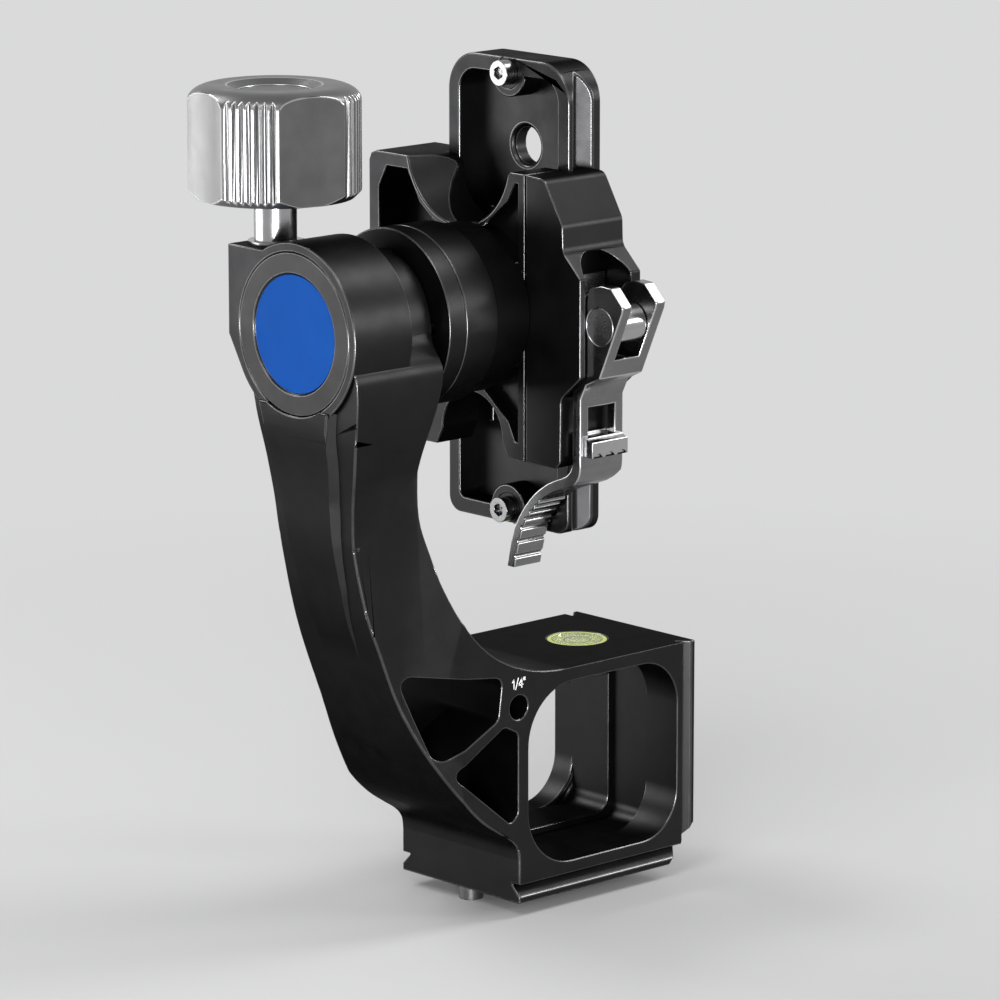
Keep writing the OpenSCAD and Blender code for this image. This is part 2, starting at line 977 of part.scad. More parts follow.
module clamp_outline() {
    translate([0, -clamp_drop])
    difference() {
        polygon(concat(body_half, mirrored(body_half)));
        translate([top_notch_y, top_notch_z])
        circle(top_notch_r);
        polygon(top_notch);
        translate([0, -clamp_h + notch_flare + fine]) {
            circle(notch_r);
            polygon([
                [-notch_r, 0], [notch_r, 0], [notch_r + notch_flare, -2 * notch_flare],
                [-notch_r - notch_flare, -2 * notch_flare]
            ]);
        }
    }
}

// room for the plate, in X and Y
module channel_plan() {
    c = 3 * run / 2;
    nose = half_w - plate_vee + nose_gap;
    x1 = plate_x + plate_lip;
    xn = x1 + half_w + c - nose;
    far = back_x + clamp_d + over;
    polygon([
        [floor_x, -half_w - c], [x1, -half_w - c], [xn, -nose], [xn + fine, -nose],
        [far, -nose - far + xn + fine], [far, nose + far - xn - fine],
        [xn + fine, nose], [xn, nose], [x1, half_w + c], [floor_x, half_w + c]
    ]);
}

module channel() {
    translate([0, 0, -clamp_l])
    linear_extrude(2 * clamp_l)
    channel_plan();
}

module along_y(y0, y1, r) {
    translate([0, y0, 0])
    rotate([-90, 0, 0])
    cylinder(h = y1 - y0, r = r);
}

module guide_places() {
    for (s = [-1, 1])
        translate([guide_x, 0, s * guide_z])
        children();
}

module clamp_body() {
    color([0.05, 0.05, 0.055])
    place()
    translate([0, 0, axis_z])
    difference() {
        union() {
            face_plate(back_x, back_x + clamp_d)
            clamp_outline();
            difference() {
                rod(boss_x + joint_gap / 2, back_x + over, flange_r - 2 * fine);
                translate([back_x - joint_gap, -clamp_l, -clamp_l])
                cube([clamp_d, clamp_l + body_edge + fine, 2 * clamp_l]);
            }
        }
        channel();
        // the scoop in front of the upper notch
        translate([back_x, scoop_y, scoop_z - clamp_drop])
        rotate([0, 90, 0])
        translate([0, 0, -over])
        cylinder(h = scoop_d + over, r1 = scoop_r + scoop_slope * over, r2 = scoop_r - scoop_slope * scoop_d);
        // weight pockets in the back
        difference() {
            face_plate(back_x - over, floor_x - 4 * fine)
            translate([0, -clamp_drop])
            polygon(concat(pocket_half, mirrored(pocket_half)));
            rod(back_x - 2 * over, floor_x, flange_r + fine);
            translate([back_x - 2 * over, 0, -3 * rod_r])
            cube([floor_x, 2 * half_w, 6 * rod_r]);
        }
        for (s = [-1, 1])
            scale([1, 1, s])
            difference() {
                face_plate(back_x - over, back_x + step_d)
                polygon(step_half);
                rod(back_x - 2 * over, floor_x, flange_r - 3 * fine - 2 * run);
                face_plate(back_x - 2 * over, floor_x)
                translate([scoop_y, scoop_z - s * clamp_drop])
                circle(scoop_r + notch_wall / 2);
            }
        // screws, drawbar and guide pins
        at_screws(45, screw_ring_r) {
            rod(boss_x - over, floor_x + over, m4_r + press);
            rod(floor_x - fine - m4_head_h - press, floor_x + over, m4_head_r + press);
        }
        translate([rod_x, 0, 0]) {
            along_y(body_edge - over, jaw_out + over, rod_r + 3 * press);
            along_y(jaw_out - nut_seat_d, jaw_out + over, 2 * rod_r + slip);
        }
        guide_places()
        along_y(body_edge - over, body_edge + guide_in + 2 * joint_gap, guide_r + press);
    }
}

module guide_pins() {
    color([0.75, 0.76, 0.77])
    place()
    translate([0, 0, axis_z])
    guide_places()
    along_y(jaw_edge - guide_out, body_edge + guide_in, guide_r);
}

module drawbar() {
    eye_w = lever_w - 2 * ear_t - 2 * slip;
    mid = lever_x + lever_w / 2;
    color([0.7, 0.71, 0.72])
    place()
    translate([0, 0, axis_z])
    difference() {
        union() {
            translate([rod_x, 0, 0])
            along_y(pin_y + pin_r, jaw_out - rod_tail, rod_r);
            translate([mid - eye_w / 2, pin_y, 0])
            rotate([0, 90, 0])
            cylinder(h = eye_w, r = eye_r);
            translate([mid - eye_w / 2, pin_y, -rod_r * neck_share])
            cube([eye_w, eye_r + eye_neck, 2 * rod_r * neck_share]);
        }
        translate([lever_x - over, pin_y, 0])
        rotate([0, 90, 0])
        cylinder(h = lever_w + 2 * over, r = pin_r + run);
    }
}

module drawbar_nut() {
    color([0.7, 0.71, 0.72])
    place()
    translate([rod_x, jaw_out - nut_seat_d + press, axis_z])
    rotate([-90, 0, 0])
    difference() {
        cylinder(h = rod_nut_h, r = 2 * rod_r, $fn = 6);
        translate([0, 0, -over])
        cylinder(h = rod_nut_h + 2 * over, r = rod_r + press);
    }
}

// the moving jaw

jaw_upper = [
    [jaw_edge, clamp_h], [-22.6, clamp_h - 0.3], [-jaw_shoulder, 21.5], [-jaw_shoulder - 0.2, 15.8],
    [-jaw_wide, jaw_wide_h]
];
jaw_lower = [
    [-jaw_wide, -jaw_wide_h], [-jaw_shoulder + 0.4, -15.8], [-jaw_shoulder + 0.6, -clamp_h + 1.4],
    [-jaw_shoulder + 2, -clamp_h], [jaw_edge, -clamp_h]
];
slot_y = pin_y + slot_reach + wear_t;
slot_low = jaw_wide_h + 5.8;
slot_arch_z = 9;
slot_arch_share = 0.86;
lit_bevel = 0.8;

module jaw_outline() {
    translate([0, -clamp_drop])
    polygon(soft(concat(jaw_upper, jaw_lower), [0.3, 2.4, 3, 3, 0.9, 0.9, 2.5, 1, 1, 0.3]));
}

module moving_jaw() {
    color([0.05, 0.05, 0.055])
    place()
    translate([0, 0, axis_z])
    difference() {
        face_plate(back_x, back_x + clamp_d)
        jaw_outline();
        channel();
        // slot for the lever's ears
        translate([slot_x, -2 * jaw_wide, -slot_low])
        cube([slot_w, 2 * jaw_wide + slot_y, slot_low]);
        side_plate(-2 * jaw_wide, slot_y)
        translate([slot_x, -eps])
        square([slot_w, slot_arch_z]);
        side_plate(-2 * jaw_wide, slot_y)
        translate([slot_x + slot_w / 2, slot_arch_z])
        scale([1, slot_arch_share])
        circle(slot_w / 2);
        // lit bevel along the inner edge
        translate([0, 0, -clamp_l])
        linear_extrude(2 * clamp_l)
        polygon([
            [back_x - over, jaw_edge + over - lit_bevel - over], [back_x - over, jaw_edge + over],
            [back_x + lit_bevel, jaw_edge + over]
        ]);
        translate([rod_x, 0, 0])
        along_y(-2 * jaw_wide, 0, rod_r + slip);
        guide_places() {
            along_y(jaw_edge - guide_out - 4 * joint_gap, 0, guide_r + run);
            along_y(jaw_edge - spring_seat_d, 0, spring_r + 2 * spring_wire);
        }
    }
}

module wear_plate() {
    color([0.75, 0.76, 0.77])
    place()
    translate([slot_x + slip, pin_y + slot_reach, axis_z - slot_arch_z])
    difference() {
        cube([slot_w - 2 * slip, wear_t - press, 2 * slot_arch_z]);
        translate([rod_x - slot_x - slip, -over, slot_arch_z])
        rotate([-90, 0, 0])
        cylinder(h = wear_t + 2 * over, r = rod_r + slip);
    }
}

// a coil spring along Z from z = 0, as one closed skin
module coil(r, wire, length, turns) {
    steps = turns * coil_steps;
    sides = 5;
    points = [for (i = [0 : steps]) for (k = [0 : sides - 1])
        let (a = i * 360 / coil_steps, b = k * 360 / sides, q = r + wire * cos(b))
        [q * cos(a), q * sin(a), wire + (length - 2 * wire) * i / steps + wire * sin(b)]];
    faces = concat(
        [[for (k = [0 : sides - 1]) k]],
        [[for (k = [sides - 1 : -1 : 0]) steps * sides + k]],
        [for (i = [0 : steps - 1]) for (k = [0 : sides - 1])
            [i * sides + k, (i + 1) * sides + k, (i + 1) * sides + (k + 1) % sides, i * sides + (k + 1) % sides]]
    );
    polyhedron(points, faces);
}

module jaw_springs() {
    color([0.7, 0.71, 0.72])
    place()
    translate([0, 0, axis_z])
    guide_places()
    translate([0, body_edge - press, 0])
    rotate([90, 0, 0])
    coil(spring_r - spring_wire, spring_wire, spring_seat_d + jaw_gap - 2 * press, spring_turns);
}

// the lever

strap_y = 5.8;
strap_in = strap_y + strap_t;
ear_line = [
    [4, 6.4], [2.6, 8.1], [-0.4, 8.8], [-3.4, 8.6], [-7, 4.9], [-6.7, 3.6], [0, -11.3], [4.1, -13.2],
    [strap_y, -16.6], [strap_y, -29.8]
];
cam_line = [
    [strap_in, -14.4], [4.4, -11.6], [4.2, -8], [8.8, -2.4], [10.2, -1.95], [11, -1], [11.2, 0], [11, 1],
    [10.2, 1.95], [8.8, 2.4]
];
tab_out_line = [[strap_y, -31], [6.2, -33.4], [8.4, -35.8], [15, -38.4], [19.6, -42], [23.8, -47.4], [26.4, -56.5]];
tab_in_line = [[28.7, -56.5], [26.4, -47.6], [21.6, -40.6], [15.9, -36.2], [10, -33.6], [strap_in, -31]];
ridge_r = 0.45;
tab_corner_r = [0.2, 0.6, 3, 0.2, 0.2];
ear_gap_low = -7.2;
tab_w = 8;
tab_low = -60;
tab_turn_z = -32;
tab_corner_z = -33.5;
tab_end_z = -39;

module lever_outline() {
    polygon(concat(ear_line, smooth(tab_out_line, 3), smooth(tab_in_line, 3), cam_line));
}

module lever() {
    ridge = smooth(tab_out_line, 3);
    color([0.78, 0.78, 0.79])
    place()
    translate([0, pin_y, axis_z])
    difference() {
        face_plate(lever_x, lever_x + lever_w)
        lever_outline();
        // gap between the ears
        translate([lever_x + ear_t, -2 * jaw_wide, ear_gap_low])
        cube([lever_w - 2 * ear_t, 3 * jaw_wide, jaw_wide]);
        // narrow thumb tab
        side_plate(0, jaw_wide)
        polygon(soft([
            [lever_x + lever_w + 2 * over, tab_turn_z], [lever_x + lever_w, tab_corner_z],
            [lever_x + tab_w, tab_end_z], [lever_x + tab_w, tab_low], [lever_x + lever_w + 2 * over, tab_low]
        ], tab_corner_r));
        // window for the lock
        translate([lever_x + (lever_w - window_w) / 2, strap_y - 2 * over, window_z0])
        cube([window_w, strap_t + 4 * over, window_z1 - window_z0]);
        for (i = [11 : len(ridge) - 2])
            translate([lever_x - over, ridge[i][0], ridge[i][1]])
            rotate([0, 90, 0])
            cylinder(h = lever_w + 2 * over, r = ridge_r, $fn = 12);
        // pin
        rod(lever_x - over, lever_x + lever_w + over, pin_r + press);
        rod(lever_x - over, lever_x + pin_head_t, pin_head_r + press);
    }
}

window_w = 7.8;
window_z0 = -29.2;
window_z1 = -18.6;
lock_h = 4.3;
lock_travel = 4.6;
lock_w = 10.6;
lock_t = 2.6;
scallop_r = 1.5;
scallop_d = 0.6;
thumb_r = 2.4;
thumb_dip = 1.6;
keeper_t = 0.8;
keeper_edge = 0.4;

module lever_pin() {
    color([0.82, 0.82, 0.83])
    place()
    translate([0, pin_y, axis_z]) {
        rod(lever_x + press, lever_x + pin_head_t - press, pin_head_r);
        rod(lever_x + press, lever_x + lever_w - press, pin_r);
    }
}

module lock_slider() {
    color([0.85, 0.85, 0.86])
    place()
    translate([lever_x + lever_w / 2, pin_y, axis_z + window_z0 + run])
    difference() {
        union() {
            translate([-lock_w / 2, strap_y - run - lock_t, 0])
            cube([lock_w, lock_t, lock_h]);
            translate([-window_w / 2 + 2 * run, strap_y - run - over, 0])
            cube([window_w - 4 * run, strap_t + over, lock_h]);
        }
        for (x = [-1, 0, 1])
            translate([x * lock_w / 3, strap_y - lock_t - 2 * scallop_d, -scallop_d])
            rotate([-90, 0, 0])
            cylinder(h = 3 * scallop_d, r = scallop_r);
        translate([-lock_w, strap_y - run - lock_t, lock_h + thumb_dip])
        rotate([0, 90, 0])
        cylinder(h = 2 * lock_w, r = thumb_r);
    }
}

module slider_back() {
    color([0.6, 0.61, 0.62])
    place()
    translate([lever_x + lever_w / 2 - lock_w / 2, pin_y + strap_in + 2 * run, axis_z + window_z0 - keeper_edge])
    cube([lock_w, keeper_t, lock_h + 2 * keeper_edge]);
}

// the lens plate

module plate_plan() {
    w = half_w;
    x0 = plate_x;
    m = plate_lip + plate_vee;
    polygon([
        [x0, -w], [x0 + plate_lip, -w], [x0 + m, -w + plate_vee], [x0 + m + plate_vee, -w], [x0 + plate_t, -w],
        [x0 + plate_t, w], [x0 + m + plate_vee, w], [x0 + m, w - plate_vee], [x0 + plate_lip, w], [x0, w]
    ]);
}

plate_top = plate_x + plate_t;
pad_t = 0.8;
pad_w = 9;
pad_y = 11.5;
pad_end = 10;
thread_lead = 0.7;
lip_h = 1.4;
lip_w = 1.3;
camera_slot_w = 6.7;
camera_z0 = -24;
camera_z1 = 12;
camera_z_rest = -8;
thread_z = 31.5;
camera_thread_r = 3.1;
camera_stud_l = 5.5;
camera_shank_r = 2.6;
coin_slot_w = 1.6;
coin_slot_d = 1.2;
rail_y = 2 * camera_thread_r + 1.4;
rail_t = 1.6;
rail_dip = 2;
rail_past = 6;

// the plate's outline, with larger corners above than below
module plate_shape(inset) {
    h = plate_l / 2 - inset;
    w = half_w - inset;
    round_box([-w, -h / 2], [w, h], plate_r - inset);
    round_box([-w, -h], [w, h / 2], plate_low_r - inset / 2);
}

module plate_cut_outline() {
    plate_shape(pocket_rim);
}

module lens_plate() {
    h = plate_l / 2;
    color([0.05, 0.05, 0.055])
    place()
    translate([0, 0, plate_z])
    difference() {
        union() {
            difference() {
                intersection() {
                    translate([0, 0, -h])
                    linear_extrude(plate_l)
                    plate_plan();
                    face_plate(plate_x - over, plate_top + over)
                    plate_shape(0);
                }
                face_plate(plate_x - over, plate_x + pocket_d)
                plate_cut_outline();
            }
            intersection() {
                union() {
                    for (s = [-1, 1])
                        translate([0, 0, s * (h - stop_end)])
                        rod(plate_x, plate_top - over, stop_boss_r);
                    // walls of the camera screw's slot
                    for (s = [-1, 1])
                        translate([plate_x + rail_dip, s * rail_y - rail_t / 2, camera_z0 - rail_past])
                        cube([plate_t - rail_dip - over, rail_t, camera_z1 - camera_z0 + 2 * rail_past]);
                }
                face_plate(plate_x - over, plate_top + over)
                plate_shape(0);
            }
            // lip against turning
            translate([plate_top - over, -half_w + plate_r, -h])
            cube([lip_h + over, 2 * (half_w - plate_r), lip_w]);
        }
        for (s = [-1, 1])
            translate([0, 0, s * (h - stop_end)]) {
                rod(plate_x - over, plate_x + stop_hole_d, m3_r + press);
                rod(plate_x - over, plate_x + stop_seat, m3_head_r + stop_room);
            }
        translate([0, 0, thread_z]) {
            rod(plate_x, plate_top + over, foot_thread_r);
            translate([plate_x + pocket_d - thread_lead, 0, 0])
            rotate([0, 90, 0])
            cylinder(h = 2 * thread_lead, r1 = foot_thread_r + 2 * thread_lead, r2 = foot_thread_r);
        }
        face_plate(plate_x, plate_top + over)
        round_box([-camera_slot_w / 2, camera_z0], [camera_slot_w / 2, camera_z1], camera_slot_w / 2 - eps);
        for (s = [-1, 1])
            translate([plate_top - pad_t / 2, s * pad_y - pad_w / 2, -h + pad_end])
            cube([pad_t, pad_w, plate_l - 2 * pad_end]);
    }
}

module plate_stop_screws() {
    color([0.8, 0.8, 0.82])
    place()
    translate([0, 0, plate_z])
    for (s = [-1, 1])
        translate([plate_x + stop_seat - m3_head_h - press, 0, s * (plate_l / 2 - stop_end)])
        rotate([0, 180, 0])
        socket_screw(m3_r, stop_screw_l, m3_head_r, m3_head_h, m3_hex_r);
}

module plate_pads() {
    color([0.1, 0.1, 0.1])
    place()
    translate([0, 0, plate_z])
    for (s = [-1, 1])
        translate([plate_top - pad_t / 2 + press, s * pad_y - pad_w / 2 + press, -plate_l / 2 + pad_end + press])
        cube([pad_t, pad_w - 2 * press, plate_l - 2 * pad_end - 2 * press]);
}

module camera_screw() {
    x0 = plate_x + fine;
    color([0.75, 0.75, 0.76])
    place()
    translate([0, 0, plate_z + camera_z_rest])
    difference() {
        union() {
            rod(x0, plate_x + pocket_d - fine, 2 * camera_thread_r);
            rod(x0, plate_top + slip, camera_shank_r);
            rod(plate_top + slip, plate_top + camera_stud_l, camera_thread_r);
        }
        translate([x0 - over, -4 * camera_thread_r, -coin_slot_w / 2])
        cube([coin_slot_d + over, 8 * camera_thread_r, coin_slot_w]);
    }
}

module camera_clip() {
    x0 = plate_x + pocket_d - fine + run;
    color([0.4, 0.4, 0.41])
    place()
    translate([0, 0, plate_z + camera_z_rest])
    ring(x0, x0 + fine - 2 * run, camera_shank_r + run, 2 * camera_thread_r - slip);
}

arm();
foot_stop_screws();
level_cup();
level_fluid();
level_bubble();
level_lens();
hub_cap();
badge_disc();
bearing_outer_rings();
brake_collar();
knob_washer();
brake_nut();
knob();
knob_cap();
knob_stud();
bearing_balls();
bearing_cages();
tilt_shaft();
bearing_inner_rings();
tilt_flange();
clamp_hub();
hub_screw();
flange_screws();
clamp_screws();
clamp_body();
guide_pins();
drawbar();
drawbar_nut();
moving_jaw();
wear_plate();
jaw_springs();
lever();
lever_pin();
lock_slider();
slider_back();
lens_plate();
plate_stop_screws();
plate_pads();
camera_screw();
camera_clip();
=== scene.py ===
"""Looks of the gimbal tripod head: finishes, rounded edges, small details, light and camera."""

import json
import math

import bmesh
import bpy
from mathutils import Matrix, Vector


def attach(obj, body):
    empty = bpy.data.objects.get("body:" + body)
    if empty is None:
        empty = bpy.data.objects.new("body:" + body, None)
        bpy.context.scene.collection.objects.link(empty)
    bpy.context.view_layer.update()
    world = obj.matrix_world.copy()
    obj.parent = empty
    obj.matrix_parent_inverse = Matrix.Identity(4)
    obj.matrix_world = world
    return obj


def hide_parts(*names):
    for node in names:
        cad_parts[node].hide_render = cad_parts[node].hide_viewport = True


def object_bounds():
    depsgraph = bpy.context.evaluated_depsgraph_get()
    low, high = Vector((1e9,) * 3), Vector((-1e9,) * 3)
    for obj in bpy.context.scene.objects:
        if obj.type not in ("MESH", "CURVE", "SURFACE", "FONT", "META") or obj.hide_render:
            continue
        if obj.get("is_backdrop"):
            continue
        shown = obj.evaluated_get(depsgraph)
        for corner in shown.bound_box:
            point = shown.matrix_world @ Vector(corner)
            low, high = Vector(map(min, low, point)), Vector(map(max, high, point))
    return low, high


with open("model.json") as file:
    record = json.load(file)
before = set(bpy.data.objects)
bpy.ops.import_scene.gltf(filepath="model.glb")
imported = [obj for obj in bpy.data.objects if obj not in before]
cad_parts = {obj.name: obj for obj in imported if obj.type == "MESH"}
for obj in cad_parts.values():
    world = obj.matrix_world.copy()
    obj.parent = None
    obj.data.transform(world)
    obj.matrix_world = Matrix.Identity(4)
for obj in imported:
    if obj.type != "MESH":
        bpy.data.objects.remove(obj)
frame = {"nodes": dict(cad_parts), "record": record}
cad_low, cad_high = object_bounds()

MM = 0.001
FRAME_X = 24.0  # the frame's origin, in millimetres from the foot's left face


def at(x, y, z):
    """A point given in millimetres from the foot's left face, as metres in the part's frame."""
    return Vector(((x - FRAME_X) * MM, y * MM, z * MM))


def place(name, data):
    """A new object in the scene."""
    o = bpy.data.objects.new(name, data)
    bpy.context.scene.collection.objects.link(o)
    return o


# shader nodes

PLAIN = (1, 1, 1)


def node_tree(name):
    m = bpy.data.materials.new(name)
    m.use_nodes = True
    nt = m.node_tree
    return m, nt, nt.nodes["Principled BSDF"]


def object_coords(nt, scale=PLAIN):
    tc = nt.nodes.new("ShaderNodeTexCoord")
    mp = nt.nodes.new("ShaderNodeMapping")
    mp.inputs["Scale"].default_value = scale
    nt.links.new(tc.outputs["Object"], mp.inputs["Vector"])
    return mp.outputs["Vector"]


def noise(nt, vector, scale, detail=3.0, rough=0.6):
    n = nt.nodes.new("ShaderNodeTexNoise")
    n.inputs["Scale"].default_value = scale
    n.inputs["Detail"].default_value = detail
    n.inputs["Roughness"].default_value = rough
    nt.links.new(vector, n.inputs["Vector"])
    return n.outputs["Fac"]


def to_range(nt, value, low, high, start=0.3, end=0.7):
    """Maps start to end, by default the usual span of a noise, onto low to high."""
    r = nt.nodes.new("ShaderNodeMapRange")
    r.inputs["From Min"].default_value = start
    r.inputs["From Max"].default_value = end
    r.inputs["To Min"].default_value = low
    r.inputs["To Max"].default_value = high
    nt.links.new(value, r.inputs["Value"])
    return r.outputs["Result"]


def two_tones(nt, value, low, high):
    m = nt.nodes.new("ShaderNodeMix")
    m.data_type = "RGBA"
    m.inputs["A"].default_value = (*low, 1)
    m.inputs["B"].default_value = (*high, 1)
    nt.links.new(value, m.inputs["Factor"])
    return m.outputs["Result"]


def vector_math(nt, operation, vector, second=PLAIN):
    n = nt.nodes.new("ShaderNodeVectorMath")
    n.operation = operation
    n.inputs[1].default_value = second
    nt.links.new(vector, n.inputs[0])
    return n.outputs["Value" if operation == "LENGTH" else "Vector"]


def scalar_math(nt, operation, first, second=None, clamp=False):
    """One Math node; second is a socket or a number."""
    n = nt.nodes.new("ShaderNodeMath")
    n.operation = operation
    n.use_clamp = clamp
    nt.links.new(first, n.inputs[0])
    if isinstance(second, (int, float)):
        n.inputs[1].default_value = second
    elif second is not None:
        nt.links.new(second, n.inputs[1])
    return n.outputs[0]


def bump(nt, bsdf, value, strength, distance):
    b = nt.nodes.new("ShaderNodeBump")
    b.inputs["Strength"].default_value = strength
    b.inputs["Distance"].default_value = distance
    nt.links.new(value, b.inputs["Height"])
    nt.links.new(b.outputs["Normal"], bsdf.inputs["Normal"])


def colour(nt, bsdf, value, low, high):
    """Two close tones, mixed by a noise."""
    nt.links.new(two_tones(nt, to_range(nt, value, 0, 1), low, high), bsdf.inputs["Base Color"])


# finishes

GRAIN_DEPTH, RING_DEPTH = 0.00003, 0.00002  # metres


def metal(name, low, high, rough, blast, stretch=PLAIN, grain=2600, metallic=1.0, tint=1.0, spec=0.5):
    """A metal or painted finish.

    It has two close tones, low and high, an uneven sheen within the range rough, and a fine grain of the
    strength blast, drawn out along an axis by stretch where the surface is turned.
    """
    m, nt, bsdf = node_tree(name)
    v = object_coords(nt, stretch)
    colour(nt, bsdf, noise(nt, object_coords(nt), 60, 5, 0.7), low, high)
    nt.links.new(to_range(nt, noise(nt, v, 160, 4), *rough), bsdf.inputs["Roughness"])
    bsdf.inputs["Metallic"].default_value = metallic
    bsdf.inputs["Specular Tint"].default_value = (tint, tint, tint, 1)
    bsdf.inputs["Specular IOR Level"].default_value = spec
    bump(nt, bsdf, noise(nt, v, grain, 2, 0.7), blast, GRAIN_DEPTH)
    return m


def faced(name, low, high, rough, centre, pitch=9000):
    """A faced metal: fine rings round an axis along X through centre."""
    m, nt, bsdf = node_tree(name)
    v = object_coords(nt)
    off = vector_math(nt, "SUBTRACT", v, centre)
    radius = vector_math(nt, "LENGTH", vector_math(nt, "MULTIPLY", off, (0, 1, 1)))
    colour(nt, bsdf, noise(nt, v, 90), low, high)
    nt.links.new(to_range(nt, noise(nt, v, 200), *rough), bsdf.inputs["Roughness"])
    bsdf.inputs["Metallic"].default_value = 1.0
    rings = scalar_math(nt, "SINE", scalar_math(nt, "MULTIPLY", radius, pitch))
    bump(nt, bsdf, rings, 0.25, RING_DEPTH)
    return m


def glassy(name, tone, rough, through):
    """A clear or smooth finish without bump; through is its transmission."""
    m, nt, bsdf = node_tree(name)
    colour(nt, bsdf, noise(nt, object_coords(nt), 300), tuple(c * 0.9 for c in tone), tone)
    bsdf.inputs["Roughness"].default_value = rough
    bsdf.inputs["Transmission Weight"].default_value = through
    bsdf.inputs["IOR"].default_value = 1.45
    bsdf.inputs["Specular IOR Level"].default_value = 0.15
    return m


BLACK = metal("black_anodised", (0.022, 0.022, 0.0225), (0.027, 0.027, 0.0278), (0.36, 0.44), 0.35,
              tint=0.35)
# The edge tones go on the rounded bevel faces and are much lighter than the face tones: partly rubbed bare
# edges, partly a painted highlight along the rims.
BLACK_EDGE_WEAR_AND_HIGHLIGHT = metal("black_rubbed_edge_and_highlight", (0.06, 0.06, 0.061), (0.11, 0.11, 0.111), (0.2, 0.3), 0.1, tint=0.6)
CAP = metal("hub_cap_grey", (0.024, 0.0236, 0.0235), (0.03, 0.0295, 0.0295), (0.34, 0.4), 0.4, tint=0.35)
SILVER = metal("silver_anodised", (0.12, 0.12, 0.1215), (0.15, 0.15, 0.1515), (0.3, 0.39), 0.3)
SILVER_EDGE_WEAR_AND_HIGHLIGHT = metal("silver_rubbed_edge_and_highlight", (0.38, 0.38, 0.384), (0.46, 0.46, 0.464), (0.18, 0.26), 0.1)
LEVER = metal("lever_anodised", (0.16, 0.16, 0.162), (0.2, 0.2, 0.202), (0.2, 0.3), 0.25)
STAINLESS = metal("stainless", (0.34, 0.34, 0.343), (0.42, 0.42, 0.424), (0.14, 0.24), 0.15)
SCREW = metal("screw_head", (0.17, 0.17, 0.172), (0.22, 0.22, 0.222), (0.2, 0.3), 0.15)
STEEL = metal("ground_steel", (0.42, 0.42, 0.43), (0.5, 0.5, 0.51), (0.22, 0.32), 0.3, (1, 1, 12), 900)
DARK = metal("black_oxide", (0.03, 0.03, 0.032), (0.05, 0.05, 0.052), (0.3, 0.42), 0.3)
SPRING = metal("drawn_wire", (0.36, 0.36, 0.38), (0.45, 0.45, 0.46), (0.24, 0.34), 0.2)
BRONZE = metal("turned_bronze", (0.42, 0.28, 0.12), (0.5, 0.35, 0.16), (0.25, 0.36), 0.3, (12, 1, 1), 900)
BLUE = metal("blue_disc", (0.001, 0.04, 0.2), (0.0015, 0.046, 0.225), (0.45, 0.55), 0.15, metallic=0.0,
             spec=0.03)
LEVEL_BODY = metal("level_body", (0.5, 0.56, 0.1), (0.58, 0.64, 0.14), (0.25, 0.32), 0.2, metallic=0.0)
INSERT = metal("knob_insert", (0.09, 0.09, 0.095), (0.13, 0.13, 0.135), (0.4, 0.55), 0.5, metallic=0.2)
RUBBER = metal("pad_rubber", (0.012, 0.012, 0.012), (0.022, 0.022, 0.022), (0.6, 0.75), 0.6, grain=1500,
               metallic=0.0)
PAINT = metal("mark_paint", (0.66, 0.66, 0.66), (0.76, 0.76, 0.76), (0.45, 0.6), 0.2, metallic=0.0)
PIN_CENTRE = (0, -0.039, 0.1295)
PIN = faced("faced_pin", (0.3, 0.3, 0.303), (0.4, 0.4, 0.404), (0.2, 0.3), PIN_CENTRE)
GREEN = glassy("level_green", (0.52, 0.6, 0.02), 0.2, 0.0)
AIR = glassy("level_air", (0.8, 0.88, 0.3), 0.1, 0.0)
LENS = glassy("clear_lens", (0.9, 0.97, 0.5), 0.03, 0.95)

FINISH = {
    "black_anodised": BLACK, "hub_cap_grey": CAP, "silver_anodised": SILVER, "stainless": STAINLESS,
    "bearing_steel": STEEL, "dark_screw": DARK, "spring_steel": SPRING, "bronze": BRONZE,
    "blue_disc": BLUE, "level_body": LEVEL_BODY, "level_green": GREEN, "level_air": AIR,
    "clear_lens": LENS, "knob_insert": INSERT, "pad_rubber": RUBBER,
}
# Bevel faces get these lighter tones: partly edge wear, partly a painted highlight along the rims.
EDGE_WEAR_AND_HIGHLIGHT = {"black_anodised": BLACK_EDGE_WEAR_AND_HIGHLIGHT, "hub_cap_grey": BLACK_EDGE_WEAR_AND_HIGHLIGHT, "silver_anodised": SILVER_EDGE_WEAR_AND_HIGHLIGHT}

slot_of = {row["node"]: row["material_slot"] for row in frame["record"]["subparts"]}
body_of = {n: b for b, ns in frame["record"]["behaviour"]["bodies"].items() for n in ns}


def dress(obj, mat):
    obj.data.materials.clear()
    obj.data.materials.append(mat)


for name, obj in frame["nodes"].items():
    dress(obj, FINISH[slot_of[name]])

# rounded edges

FACETED = {"clamp_body", "moving_jaw", "lever"}  # nodes whose shallow angles stay crisp
MERGE = 0.004 * MM
CREASE = math.radians(15)
BEVEL_STEPS = 3
NORMAL_WEIGHT = 92


